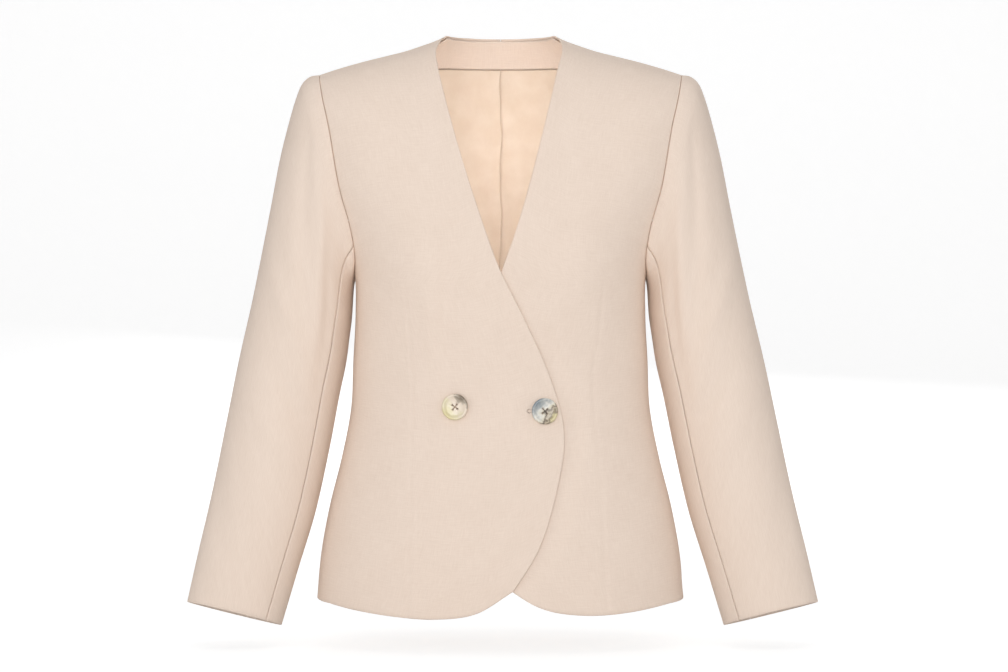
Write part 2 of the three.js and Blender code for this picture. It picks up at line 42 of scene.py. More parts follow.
# ------------------------------------------------------------------ camera
# A long lens three metres in front of the jacket, level with its middle.
FRAME_WIDTH = 1.1088  # what the lens takes in at the shoulder line
CAMERA_AWAY = 3.0
SENSOR = 36.0
lens = bpy.data.cameras.new("camera")
lens.sensor_width = SENSOR
lens.lens = SENSOR * CAMERA_AWAY / FRAME_WIDTH
camera = bpy.data.objects.new("camera", lens)
camera.location = (0.0039, -CAMERA_AWAY, -0.3036)
camera.rotation_euler = (math.radians(90), 0, 0)
scene.collection.objects.link(camera)
scene.camera = camera

# ------------------------------------------------------------------ form of the jacket
# The jacket stands filled out as if worn. Its torso is a stack of rings that slope up to
# the shoulder line, cut to a general figure: full at the chest, drawn in at the waist.


def table(columns, *rows):
    """Rows of numbers under named columns, as one array for each name."""
    return {name: np.array([row[i] for row in rows]) for i, name in enumerate(columns.split())}


TORSO = table(
    "level half_width front_depth back_depth squareness ridge_share",
    (-0.640, 0.2040, 0.124, 0.120, 2.40, 0.00),
    (-0.590, 0.2010, 0.121, 0.117, 2.40, 0.00),
    (-0.540, 0.1965, 0.117, 0.112, 2.40, 0.00),
    (-0.488, 0.1870, 0.112, 0.103, 2.40, 0.00),
    (-0.436, 0.1740, 0.107, 0.091, 2.40, 0.00),
    (-0.383, 0.1640, 0.103, 0.082, 2.40, 0.00),
    (-0.330, 0.1615, 0.105, 0.082, 2.40, 0.00),
    (-0.280, 0.1590, 0.110, 0.089, 2.45, 0.00),
    (-0.235, 0.1600, 0.113, 0.096, 2.55, 0.02),
    (-0.190, 0.1710, 0.111, 0.101, 2.80, 0.15),
    (-0.145, 0.1860, 0.104, 0.101, 3.20, 0.35),
    (-0.100, 0.1970, 0.093, 0.094, 3.70, 0.60),
    (-0.062, 0.2040, 0.078, 0.082, 4.20, 0.82),
    (-0.032, 0.2090, 0.058, 0.063, 4.60, 0.95),
    (-0.010, 0.2120, 0.032, 0.036, 4.80, 1.00),
    (0.000, 0.2130, 0.000, 0.000, 4.80, 1.00),
)
RIDGE = len(TORSO["level"]) - 1
SHOULDER = table(
    "across height",
    (0.000, 0.0660), (0.020, 0.0610), (0.040, 0.0460), (0.054, 0.0330), (0.062, 0.0255),
    (0.072, 0.0205), (0.086, 0.0155), (0.104, 0.0095), (0.125, 0.0042), (0.150, -0.0020),
    (0.175, -0.0090), (0.200, -0.0170), (0.213, -0.0210),
)
CHEST_ACROSS, CHEST_LEVEL, CHEST_LIFT = 0.092, -0.222, 0.006
CHEST_SPREAD, CHEST_REACH = 0.052, 0.062


def curve(places, values, at, flat_end=False):
    """Smooth curve through values at rising places."""
    slope = np.empty(len(places))
    slope[1:-1] = (values[2:] - values[:-2]) / (places[2:] - places[:-2])
    slope[0] = (values[1] - values[0]) / (places[1] - places[0])
    slope[-1] = 0 if flat_end else (values[-1] - values[-2]) / (places[-1] - places[-2])
    i = np.clip(np.searchsorted(places, at, side="right") - 1, 0, len(places) - 2)
    width = places[i + 1] - places[i]
    t = np.clip((at - places[i]) / width, 0, 1)
    rise = 3 * t**2 - 2 * t**3
    ends = (1 - rise) * values[i] + rise * values[i + 1]
    return ends + width * ((t**3 - 2 * t**2 + t) * slope[i] + (t**3 - t**2) * slope[i + 1])


def ring(name, step):
    flat = name in ("level", "half_width")
    return curve(np.arange(RIDGE + 1.0), TORSO[name], step, flat)


def shoulder_height(across):
    return curve(SHOULDER["across"], SHOULDER["height"], np.abs(across))


def squarish(angle, squareness):
    s, c = np.abs(np.sin(angle)), np.abs(np.cos(angle))
    return s / (s**squareness + c**squareness) ** (1 / squareness)


def torso_point(turned, step):
    """Outside of the torso: 0 is the centre front, 90 the left side, 180 the centre back."""
    turned, step = np.broadcast_arrays(np.asarray(turned, float), np.asarray(step, float))
    angle = turned - 360 * np.round(turned / 360)
    side = np.where(angle < 0, -1, 1)
    back = np.abs(angle) > 90
    turn = np.radians(np.where(back, 180 - np.abs(angle), np.abs(angle)))
    squareness = ring("squareness", step)
    depth = np.where(back, ring("back_depth", step), ring("front_depth", step))
    x = side * ring("half_width", step) * squarish(turn, squareness)
    z = ring("level", step) + ring("ridge_share", step) * shoulder_height(x)
    y = depth * squarish(math.pi / 2 - turn, squareness) * np.where(back, 1, -1)
    fullness = CHEST_LIFT * np.exp(
        -(((np.abs(x) - CHEST_ACROSS) / CHEST_SPREAD) ** 2) - ((z - CHEST_LEVEL) / CHEST_REACH) ** 2
    )
    return np.stack([x, np.where(back, y, y - fullness), z], axis=-1)


def halfway(low, high, too_low):
    for _ in range(36):
        middle = (low + high) / 2
        below = too_low(middle)
        low, high = np.where(below, middle, low), np.where(below, high, middle)
    return (low + high) / 2


def step_at_level(angle, level):
    angle, level = np.broadcast_arrays(np.asarray(angle, float), np.asarray(level, float))
    start = np.zeros(angle.shape)
    return halfway(start, start + RIDGE, lambda s: torso_point(angle, s)[..., 2] < level)


def spot(across, level, back=False):
    """Angle and step of the torso as seen straight from the front or the back."""
    across, level = np.broadcast_arrays(np.asarray(across, float), np.asarray(level, float))
    start = np.zeros(across.shape)
    step = halfway(
        start,
        start + RIDGE,
        lambda s: ring("level", s) + ring("ridge_share", s) * shoulder_height(across) < level,
    )
    squareness = ring("squareness", step)
    share = np.minimum(np.abs(across) / ring("half_width", step), 1)
    rest = (1 - share**squareness) ** (1 / squareness)
    turn = np.degrees(np.arctan2(share, rest))
    angle = (180 - turn if back else turn) * np.where(across < 0, -1, 1)
    return np.stack([angle, step], axis=-1)


def normal_of(surface, a, b, centre):
    """Unit normals of a surface, pointing away from a centre point for each place."""
    e = 0.02
    along = surface(a + e, b) - surface(a - e, b)
    up = surface(a, b + e) - surface(a, b - e)
    normal = np.cross(along, up)
    normal /= np.linalg.norm(normal, axis=-1, keepdims=True)
    outwards = np.sum(normal * (surface(a, b) - centre), axis=-1, keepdims=True)
    return np.where(outwards < 0, -normal, normal)


def torso_normal(angle, step):
    inside = np.minimum(step, RIDGE - 0.03)
    centre = torso_point(angle, inside) * np.array([0.5, -0.5, 1.0])
    centre[..., 2] = np.minimum(centre[..., 2], -0.06)
    return normal_of(torso_point, angle, inside, centre)


def smoothstep(low, high, value):
    t = np.clip((value - low) / (high - low), 0, 1)
    return t * t * (3 - 2 * t)


def creases(rows, across, along):
    """Soft troughs and ridges, each along a straight stretch that fades out at its ends."""
    rise = np.zeros(np.shape(across))
    for x0, z0, x1, z1, width, lift in rows:
        line = np.array([x1 - x0, z1 - z0])
        length = np.hypot(*line)
        t = ((across - x0) * line[0] + (along - z0) * line[1]) / length**2
        away = ((across - x0) * line[1] - (along - z0) * line[0]) / length
        bend = 0.12 * length * np.sin(math.pi * np.clip(t, 0, 1))
        fade = smoothstep(-0.25, 0.35, t) * (1 - smoothstep(0.65, 1.25, t))
        rise += lift * fade * np.exp(-(((away - bend * (x0 + z0) % 1 * 0.2) / width) ** 2))
    return rise


def new_piece(name, vertices, faces, thread=None):
    mesh = bpy.data.meshes.new(name)
    mesh.from_pydata(vertices.tolist(), [], faces.tolist() if hasattr(faces, "tolist") else faces)
    mesh.validate()
    mesh.update()
    if thread is not None:
        layer = mesh.uv_layers.new(name="thread")
        corner = np.empty(len(mesh.loops), dtype=np.int32)
        mesh.loops.foreach_get("vertex_index", corner)
        layer.data.foreach_set("uv", thread[corner].ravel().astype(np.float32))
    mesh.polygons.foreach_set("use_smooth", [True] * len(mesh.polygons))
    piece = bpy.data.objects.new(name, mesh)
    scene.collection.objects.link(piece)
    return piece


EDGE_ROUND = 0.0007  # how far a turned edge rounds over


def cloth_wall(name, outer, inner):
    """Closed cloth between two grids of points, with its edges turned and rounded."""
    rows, columns = outer.shape[:2]
    around = (
        [(0, c) for c in range(columns)]
        + [(r, columns - 1) for r in range(1, rows)]
        + [(rows - 1, c) for c in range(columns - 2, -1, -1)]
        + [(r, 0) for r in range(rows - 2, 0, -1)]
    )
    rim = np.array(around)
    toward = np.stack([np.clip(rim[:, 0], 1, rows - 2), np.clip(rim[:, 1], 1, columns - 2)], 1)
    middle = (outer[rim[:, 0], rim[:, 1]] + inner[rim[:, 0], rim[:, 1]]) / 2
    layers = []
    for layer in (outer.copy(), inner.copy()):
        here = layer[rim[:, 0], rim[:, 1]]
        step = layer[toward[:, 0], toward[:, 1]] - here
        length = np.linalg.norm(step, axis=1, keepdims=True)
        layer[rim[:, 0], rim[:, 1]] = here + step * np.minimum(EDGE_ROUND / length, 0.4)
        layers.append(layer)
    across = np.linalg.norm(np.diff(outer, axis=1), axis=-1)
    along = np.linalg.norm(np.diff(outer, axis=0), axis=-1)
    u = np.concatenate([np.zeros((rows, 1)), np.cumsum(across, axis=1)], axis=1)
    v = np.concatenate([np.zeros((1, columns)), np.cumsum(along, axis=0)], axis=0)
    uv = np.stack([u - u.mean(axis=1, keepdims=True), v], axis=-1)
    count = rows * columns
    number = np.arange(count).reshape(rows, columns)
    corners = [number[:-1, :-1], number[:-1, 1:], number[1:, 1:], number[1:, :-1]]
    front = np.stack([c.ravel() for c in corners], axis=1)
    back = front[:, ::-1] + count
    edge = number[rim[:, 0], rim[:, 1]]
    centre = 2 * count + np.arange(len(rim))
    follow = np.roll(np.arange(len(rim)), -1)
    upper = np.stack([edge[follow], edge, centre, centre[follow]], axis=1)
    lower = np.stack([centre[follow], centre, edge + count, edge[follow] + count], axis=1)
    faces = np.concatenate([front, back, upper, lower])
    vertices = np.concatenate([layers[0].reshape(-1, 3), layers[1].reshape(-1, 3), middle])
    thread = np.concatenate([uv.reshape(-1, 2), uv.reshape(-1, 2), uv[rim[:, 0], rim[:, 1]]])
    a, b, c = (vertices[faces[:, i]] for i in range(3))
    volume = np.sum(a * np.cross(b, c)) + np.sum(a * np.cross(c, vertices[faces[:, 3]]))
    if volume < 0:
        faces = faces[:, ::-1]
    return new_piece(name, vertices, faces, thread)


def area_of(grid):
    side = grid[:-1, 1:] - grid[:-1, :-1]
    rise = grid[1:, :-1] - grid[:-1, :-1]
    return float(np.linalg.norm(np.cross(side, rise), axis=-1).sum())


def declare(piece, node, outer):
    """The piece takes its solid's place: it rides on the root, and its solid is hidden.
    The piece takes its solid's place, and is cloth cut to the size that shows.
    """
    width = float(np.linalg.norm(np.diff(outer, axis=1), axis=-1).sum(axis=1).max())
    length = float(np.linalg.norm(np.diff(outer, axis=0), axis=-1).sum(axis=0).max())
    area = min(area_of(outer), width * length)
    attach(piece, "root")
    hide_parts(node)


# ------------------------------------------------------------------ shell cloth
# Fine plain weave in a pale blush beige: matt, a little slubby, the threads a few tenths
# of a millimetre apart, fused so that it holds a smooth form.
class Wire:
    """A number, colour or vector in a material, on which sums can be written."""

    def __init__(self, tree, socket):
        self.tree = tree
        self.socket = socket

    def _sum(self, operation, first, second):
        return node(self.tree, "ShaderNodeMath", {"operation": operation}, {0: first, 1: second})

    def __add__(self, other):
        return self._sum("ADD", self, other)

    def __sub__(self, other):
        return self._sum("SUBTRACT", self, other)

    def __mul__(self, other):
        return self._sum("MULTIPLY", self, other)

    __radd__ = __add__
    __rmul__ = __mul__


def node(tree, kind, settings=None, sockets=None, out=0):
    """One node: its settings first, then its sockets' values or links."""
    made = tree.nodes.new(kind)
    for name, value in (settings or {}).items():
        if name == "stops":
            while len(made.color_ramp.elements) < len(value):
                made.color_ramp.elements.new(0.5)
            for element, (place, colour) in zip(made.color_ramp.elements, value):
                element.position = place
                element.color = (*colour, 1)
        else:
            setattr(made, name, value)
    for name, value in (sockets or {}).items():
        if isinstance(value, Wire):
            tree.links.new(value.socket, made.inputs[name])
        else:
            made.inputs[name].default_value = value
    return Wire(tree, made.outputs[out])


def mix(tree, share, first, second):
    return node(
        tree, "ShaderNodeMix", {"data_type": "RGBA"}, {0: share, 6: first, 7: second}, out=2
    )


def finish(name, **constants):
    """An empty material with one shader, whose even values are set on its own sockets."""
    material = bpy.data.materials.new(name)
    material.use_nodes = True
    tree = material.node_tree
    shader = tree.nodes["Principled BSDF"]
    for key, value in constants.items():
        shader.inputs[key.replace("_", " ")].default_value = value
    return material, tree, shader


def feed(tree, shader, **links):
    for key, wire in links.items():
        tree.links.new(wire.socket, shader.inputs[key.replace("_", " ")])


def stretched(tree, place, along, across):
    return node(
        tree, "ShaderNodeMapping", {}, {"Vector": place, "Scale": (along, across, 1.0)}
    )


def noise(tree, place, scale, detail=2.0, roughness=0.5):
    return node(
        tree,
        "ShaderNodeTexNoise",
        {},
        {"Vector": place, "Scale": scale, "Detail": detail, "Roughness": roughness},
    )


SHELL_LIGHT = (0.872, 0.735, 0.632, 1)
SHELL_DEEP = (0.786, 0.643, 0.540, 1)


def shell_cloth():
    material, tree, shader = finish("shell_cloth", Roughness=0.93)
    shader.inputs["Specular IOR Level"].default_value = 0.18
    shader.inputs["Sheen Weight"].default_value = 0.06
    place = node(tree, "ShaderNodeUVMap", {"uv_map": "thread"})
    warp = noise(tree, stretched(tree, place, 2600, 160), 1.0, 3.0)
    weft = noise(tree, stretched(tree, place, 160, 2600), 1.0, 3.0)
    fine = noise(tree, stretched(tree, place, 900, 60), 1.0, 2.0)
    cross = noise(tree, stretched(tree, place, 60, 900), 1.0, 2.0)
    cloudy = noise(tree, place, 22.0, 3.0)
    slub = (warp + weft) * 0.22 + (fine + cross) * 0.28
    shade = (slub - 0.5) * 3.2 + (cloudy - 0.5) * 0.5 + 0.40
    feed(tree, shader, Base_Color=mix(tree, shade, SHELL_LIGHT, SHELL_DEEP))
    bump = node(
        tree, "ShaderNodeBump", {}, {"Strength": 0.28, "Distance": 0.0006, "Height": slub}
    )
    feed(tree, shader, Normal=bump)
    return material


SHELL = shell_cloth()
SHELL_WALL = 0.0016
SEAM_GAP = 0.0003

# ------------------------------------------------------------------ fronts
# Two fronts in shell cloth, cut on the V at the neck, long and rounded at the hem. The
# wearer's right one laps over the left. A dart runs from under the chest to the hem.
NECK_POINT = 0.063
HEM_SIDE = -0.590
UNDERARM_LEVEL, ARMHOLE_TOP = -0.238, -0.017
UNDERARM_SHARE = 0.56
SIDE_MARGIN, CENTRE_MARGIN, SHOULDER_MARGIN = 0.1, 0.08, 0.005
LAP_DROP, LAP_FLAT, LAP_EASE = 0.0032, 0.008, 0.030
ARMHOLE = table(
    "turn front_angle back_angle",
    (0, 50.6, 50.6), (40, 50.0, 50.5), (70, 51.0, 51.5), (100, 56.3, 55.0),
    (130, 62.8, 61.0), (150, 69.5, 68.0), (165, 78.5, 78.0), (180, 90.0, 90.0),
)
RIGHT_EDGE = table(
    "across level",
    (-NECK_POINT, 0.026), (-0.070, 0.008), (-0.067, -0.015), (-0.0475, -0.091),
    (-0.019, -0.182), (0.0005, -0.235), (0.024, -0.282), (0.056, -0.355),
    (0.0685, -0.409), (0.060, -0.470), (0.041, -0.530), (0.0135, -0.574),
    (-0.026, -0.5975), (-0.069, -0.6035),
)
RIGHT_CORNER = 11
RIGHT_HEM = table(
    "across level",
    (0.0135, -0.574), (-0.026, -0.5975), (-0.069, -0.6035), (-0.112, -0.6015),
    (-0.155, -0.5965), (-0.186, -0.5915),
)
LEFT_EDGE = table(
    "across level",
    (NECK_POINT, 0.026), (0.0675, 0.010), (0.062, -0.015), (0.045, -0.087),
    (0.021, -0.177), (0.0012, -0.2335), (-0.014, -0.268), (-0.040, -0.330),
    (-0.056, -0.400), (-0.048, -0.470), (-0.028, -0.530), (-0.004, -0.561),
)
LEFT_HEM = table(
    "across level",
    (-0.004, -0.561), (0.014, -0.575), (0.037, -0.589), (0.058, -0.596), (0.095, -0.600),
    (0.138, -0.598), (0.184, -0.5915),
)


def outline(rows):
    """Points along a smooth outline through table rows, by share of its length."""
    points = np.stack([rows["across"], rows["level"]], axis=1)
    before, after = 2 * points[0] - points[1], 2 * points[-1] - points[-2]
    p = np.vstack([before, points, after])
    gap = np.sqrt(np.linalg.norm(np.diff(p, axis=0), axis=1))
    line = []
    for i in range(1, len(p) - 2):
        g0, g1, g2 = gap[i - 1], gap[i], gap[i + 1]
        t = np.linspace(0, 1, 40, endpoint=i == len(p) - 3)[:, None]
        out = (p[i] - p[i - 1]) / g0 - (p[i + 1] - p[i - 1]) / (g0 + g1)
        into = (p[i + 1] - p[i]) / g1 - (p[i + 2] - p[i]) / (g1 + g2)
        start = (out + (p[i + 1] - p[i]) / g1) * g1
        end = (into + (p[i + 2] - p[i + 1]) / g2) * g1
        line.append(
            (2 * t**3 - 3 * t**2 + 1) * p[i] + (t**3 - 2 * t**2 + t) * start
            + (3 * t**2 - 2 * t**3) * p[i + 1] + (t**3 - t**2) * end
        )
    line = np.vstack(line)
    run = np.concatenate([[0], np.cumsum(np.linalg.norm(np.diff(line, axis=0), axis=1))])
    return lambda share: np.stack(
        [np.interp(np.asarray(share) * run[-1], run, line[:, k]) for k in (0, 1)], axis=-1
    )


def crowded(rows, crowding=0.4):
    v = np.linspace(0, 1, rows)
    return v + crowding * v * (1 - v)


def armhole_spot(side, back, turn):
    turn = np.asarray(turn, float)
    size = curve(ARMHOLE["turn"], ARMHOLE["back_angle" if back else "front_angle"], turn)
    middle, half = (ARMHOLE_TOP + UNDERARM_LEVEL) / 2, (ARMHOLE_TOP - UNDERARM_LEVEL) / 2
    angle = side * (180 - size if back else size)
    step = step_at_level(angle, middle + half * np.cos(np.radians(turn)))
    step = np.where(turn < 1, RIDGE, step)
    return np.stack([angle, np.minimum(step, RIDGE - SHOULDER_MARGIN)], axis=-1)


def panel_side(side, back, v):
    """Up the side seam, then round the armhole to the shoulder point."""
    seam = side * (90 + SIDE_MARGIN if back else 90 - SIDE_MARGIN)
    hem, underarm = step_at_level(seam, HEM_SIDE), step_at_level(seam, UNDERARM_LEVEL)
    low = np.minimum(v / UNDERARM_SHARE, 1)
    turn = 180 * (1 - np.maximum(v - UNDERARM_SHARE, 0) / (1 - UNDERARM_SHARE))
    spots = armhole_spot(side, back, turn)
    size = np.abs(spots[:, 0])
    size = np.maximum(size, 90 + SIDE_MARGIN) if back else np.minimum(size, 90 - SIDE_MARGIN)
    lower = v <= UNDERARM_SHARE
    return np.stack(
        [
            np.where(lower, seam, side * size),
            np.where(lower, hem + (underarm - hem) * low, spots[:, 1]),
        ],
        axis=-1,
    )


def shoulder_seam(side, back, u):
    neck = spot(side * NECK_POINT, shoulder_height(NECK_POINT), back)[0]
    tip = armhole_spot(side, back, 0.0)[0]
    return np.stack([neck + (tip - neck) * u, np.full(len(u), RIDGE - SHOULDER_MARGIN)], axis=-1)


def reversed_rows(rows):
    return {name: values[::-1] for name, values in rows.items()}


FRONT_COLUMNS, FRONT_ROWS = 108, 170
FRONT_FOLD_GAIN, BACK_FOLD_GAIN, SLEEVE_FOLD_GAIN = 1.3, 2.0, 1.7
# Soft folds of the fronts: from and to as across and level, then width and lift.
FRONT_CREASES = [
    (-0.142, -0.205, -0.136, -0.330, 0.010, -0.0016),
    (-0.122, -0.235, -0.120, -0.345, 0.012, 0.0012),
    (0.146, -0.195, 0.138, -0.335, 0.011, -0.0018),
    (0.126, -0.225, 0.128, -0.350, 0.013, 0.0014),
    (-0.060, -0.395, -0.150, -0.372, 0.012, -0.0008),
    (0.075, -0.400, 0.150, -0.380, 0.012, -0.0009),
    (0.020, -0.392, -0.040, -0.388, 0.010, -0.0006),
]
RIGHT_DART = table(
    "across level",
    (-0.0978, -0.605), (-0.0970, -0.520), (-0.0951, -0.446), (-0.0932, -0.372),
    (-0.0973, -0.297), (-0.1025, -0.247),
)
LEFT_DART = table(
    "across level",
    (0.1143, -0.605), (0.1091, -0.499), (0.1041, -0.419), (0.0988, -0.347),
    (0.1052, -0.300), (0.1113, -0.233),
)


def dart_rise(dart, point):
    """A fine stitched line, drawn in over its whole length and fading at its point."""
    x = curve(dart["level"], dart["across"], point[..., 2])
    away = point[..., 0] - x
    fade = 1 - smoothstep(dart["level"][-1] - 0.03, dart["level"][-1], point[..., 2])
    line = -0.0007 * np.exp(-((away / 0.0016) ** 2))
    return fade * (line + 0.0005 * np.exp(-((away / 0.012) ** 2)))


def front_edge_drop(point):
    """How far the left front lies under the right one."""
    rows = reversed_rows(RIGHT_EDGE)
    edge = curve(rows["level"], rows["across"], point[..., 2])
    return LAP_DROP * (1 - smoothstep(LAP_FLAT, LAP_EASE, point[..., 0] - edge))


def front_region(side, edge_rows, hem_rows):
    v, u = crowded(FRONT_ROWS + 1), np.linspace(0, 1, FRONT_COLUMNS + 1)
    inner = spot(*outline(reversed_rows(edge_rows))(v).T)
    inner[:, 1] = np.minimum(inner[:, 1], RIDGE - SHOULDER_MARGIN)
    outer = panel_side(side, False, v)
    reach = 0.93
    seen = spot(*outline(hem_rows)(np.minimum(u / reach, 1)).T)
    run = np.maximum(u - reach, 0)[:, None] / (1 - reach)
    bottom = seen * (1 - run) + outer[0] * run
    top = shoulder_seam(side, False, u)
    w = v[:, None, None]
    uu = u[None, :, None]
    corner = (1 - w) * ((1 - uu) * bottom[0] + uu * bottom[-1]) + w * (
        (1 - uu) * top[0] + uu * top[-1]
    )
    region = (1 - uu) * inner[:, None] + uu * outer[:, None]
    return region + (1 - w) * bottom[None] + w * top[None] - corner


def front_panel(name, side, edge_rows, hem_rows, dart, drop_at):
    region = front_region(side, edge_rows, hem_rows)
    angle, step = region[..., 0], region[..., 1]
    base, normal = torso_point(angle, step), torso_normal(angle, step)
    folds = creases(FRONT_CREASES, base[..., 0], base[..., 2])
    rise = FRONT_FOLD_GAIN * folds + dart_rise(dart, base)
    near_edge = np.minimum(np.arange(FRONT_COLUMNS + 1) / 10, 1)[None, :]
    outer = base + normal * (rise * near_edge - drop_at(base))[..., None]
    inner = outer - normal * SHELL_WALL
    piece = cloth_wall(name, outer, inner)
    piece.data.materials.append(SHELL)
    return piece, outer


edge_rows = {k: v[: RIGHT_CORNER + 1] for k, v in RIGHT_EDGE.items()}
right_front, outside = front_panel(
    "right_front_cloth", -1, edge_rows, RIGHT_HEM, RIGHT_DART, lambda p: 0 * p[..., 0]
)
declare(right_front, "right_front", outside)
left_front, outside = front_panel(
    "left_front_cloth", 1, LEFT_EDGE, LEFT_HEM, LEFT_DART, front_edge_drop
)
declare(left_front, "left_front", outside)

# ------------------------------------------------------------------ back
# Two back panels in shell cloth, joined by a centre-back seam that follows the hollow of
# the back, and rising a little way up the neck.
BACK_COLUMNS, BACK_ROWS = 72, 150
NECK_SHARE = 5 / 12
BACK_NECK_LEVEL, BACK_NECK_FALL, BACK_HEM_LEVEL = 0.030, 0.003, -0.592
BACK_CREASES = [
    (-0.020, -0.372, -0.105, -0.360, 0.012, -0.0012),
    (-0.030, -0.398, -0.120, -0.402, 0.013, 0.0011),
    (0.024, -0.364, 0.112, -0.350, 0.012, -0.0013),
    (0.030, -0.392, 0.100, -0.400, 0.012, 0.0010),
    (-0.140, -0.150, -0.112, -0.270, 0.014, -0.0018),
    (0.146, -0.140, 0.118, -0.262, 0.015, -0.0019),
    (-0.118, -0.120, -0.092, -0.215, 0.014, 0.0013),
    (0.120, -0.125, 0.090, -0.205, 0.014, 0.0013),
]


def back_region(side, margin):
    v, u = crowded(BACK_ROWS + 1), np.linspace(0, 1, BACK_COLUMNS + 1)
    outer = panel_side(side, True, v)
    along = np.minimum(u / NECK_SHARE, 1)
    neck = spot(side * NECK_POINT * along, BACK_NECK_LEVEL - BACK_NECK_FALL * along**4, True)
    neck[:, 0] = side * np.minimum(np.abs(neck[:, 0]), 180 - margin)
    neck[:, 1] = np.minimum(neck[:, 1], RIDGE - SHOULDER_MARGIN)
    seam = shoulder_seam(side, True, np.maximum(u - NECK_SHARE, 0) / (1 - NECK_SHARE))
    top = np.where((u < NECK_SHARE)[:, None], neck, seam)
    centre = side * (180 - margin)
    low, high = step_at_level(centre, BACK_HEM_LEVEL), top[0, 1]
    inner = np.stack([np.full(len(v), centre), low + (high - low) * v], axis=-1)
    start = np.array([centre, float(low)])
    bottom = start + (outer[0] - start) * u[:, None]
    w, uu = v[:, None, None], u[None, :, None]
    corner = (1 - w) * ((1 - uu) * bottom[0] + uu * bottom[-1]) + w * (
        (1 - uu) * top[0] + uu * top[-1]
    )
    region = (1 - uu) * inner[:, None] + uu * outer[:, None]
    return region + (1 - w) * bottom[None] + w * top[None] - corner


for side, word in ((-1, "right"), (1, "left")):
    region = back_region(side, CENTRE_MARGIN)
    angle, step = region[..., 0], region[..., 1]
    base, normal = torso_point(angle, step), torso_normal(angle, step)
    rise = BACK_FOLD_GAIN * creases(BACK_CREASES, base[..., 0], base[..., 2])
    near_seam = np.minimum(np.arange(BACK_COLUMNS + 1) / 8, 1)[None, :]
    outside = base + normal * (rise * near_seam)[..., None]
    piece = cloth_wall(f"back_{word}_cloth", outside, outside - normal * SHELL_WALL)
    piece.data.materials.append(SHELL)
    declare(piece, f"back_{word}", outside)

# ------------------------------------------------------------------ back neck facing
# A strip of shell cloth inside the back neck, from shoulder seam to shoulder seam.
FACING_DROP, FACING_LEVEL, FACING_END = 0.0028, -0.002, 7 / 12
FACING_ROWS = 16


def whole_back():
    """The back as one grid with its normals, from the left side seam over the centre."""
    left, right = back_region(1, 0), back_region(-1, 0)
    region = np.concatenate([left[:, ::-1], right[:, 1:]], axis=1)
    angle, step = region[..., 0], region[..., 1]
    angle = np.where(np.arange(angle.shape[1]) == BACK_COLUMNS, 180.0, angle)
    return torso_point(angle, step), torso_normal(angle, step)


flat_back, back_normal = whole_back()


def back_rows(share):
    """Rows of the whole back at shares of its height that change from column to column."""
    place = np.clip(share * BACK_ROWS, 0, BACK_ROWS - 0.01)
    low = place.astype(int)
    t = (place - low)[..., None]
    columns = np.arange(flat_back.shape[1])[None, :]
    grids = []
    for grid in (flat_back, back_normal):
        grids.append(grid[low, columns] * (1 - t) + grid[low + 1, columns] * t)
    return grids


def share_at_level(level):
    """Share of the height of each column at which the back comes up to a level."""
    shares = np.linspace(0, 1, BACK_ROWS + 1)
    upper = slice(BACK_ROWS // 2, None)
    columns = range(flat_back.shape[1])
    return np.array([np.interp(level, flat_back[upper, c, 2], shares[upper]) for c in columns])


half = int(round(FACING_END * BACK_COLUMNS))
strip = slice(BACK_COLUMNS - half, BACK_COLUMNS + half + 1)
foot, top = share_at_level(FACING_LEVEL), 1 - 0.1 / 20
run = np.linspace(0, 1, FACING_ROWS + 1)[:, None]
base, normal = back_rows(foot[None, :] + (top - foot)[None, :] * run)
outside = (base - normal * FACING_DROP)[:, strip]
facing = cloth_wall("neck_facing_cloth", outside, outside - normal[:, strip] * SHELL_WALL)
facing.data.materials.append(SHELL)
declare(facing, "back_neck_facing", outside)

# ------------------------------------------------------------------ back lining
# Warm cream satin, cut in two with a centre pleat: the left half is tucked under the
# right one. It hangs a little loose, in shallow slanting wrinkles.
LINING_WALL, LINING_DROP = 0.001, 0.0038
LINING_LIGHT = (0.870, 0.735, 0.605, 1)
LINING_DEEP = (0.770, 0.615, 0.475, 1)
LINING_CREASES = [
    (0.035, -0.040, 0.058, -0.075, 0.0050, 0.0032),
    (0.022, -0.052, 0.050, -0.102, 0.0060, -0.0026),
    (0.012, -0.095, 0.040, -0.128, 0.0050, 0.0028),
    (0.026, -0.112, 0.046, -0.165, 0.0060, -0.0024),
    (0.006, -0.150, 0.034, -0.172, 0.0050, 0.0026),
    (0.008, -0.196, 0.024, -0.232, 0.0045, 0.0024),
    (0.016, -0.180, 0.034, -0.222, 0.0050, -0.0022),
    (-0.056, -0.060, -0.030, -0.112, 0.0060, 0.0020),
    (-0.048, -0.115, -0.020, -0.150, 0.0070, -0.0018),
    (-0.034, -0.150, -0.014, -0.210, 0.0060, 0.0018),
    (-0.060, -0.250, -0.020, -0.300, 0.0080, 0.0020),
    (0.020, -0.290, 0.070, -0.330, 0.0080, 0.0022),
    (-0.090, -0.330, -0.030, -0.380, 0.0090, -0.0020),
    (0.030, -0.400, 0.100, -0.420, 0.0090, -0.0020),
    (-0.080, -0.470, -0.060, -0.560, 0.0100, 0.0022),
    (0.060, -0.460, 0.070, -0.560, 0.0100, 0.0022),
]


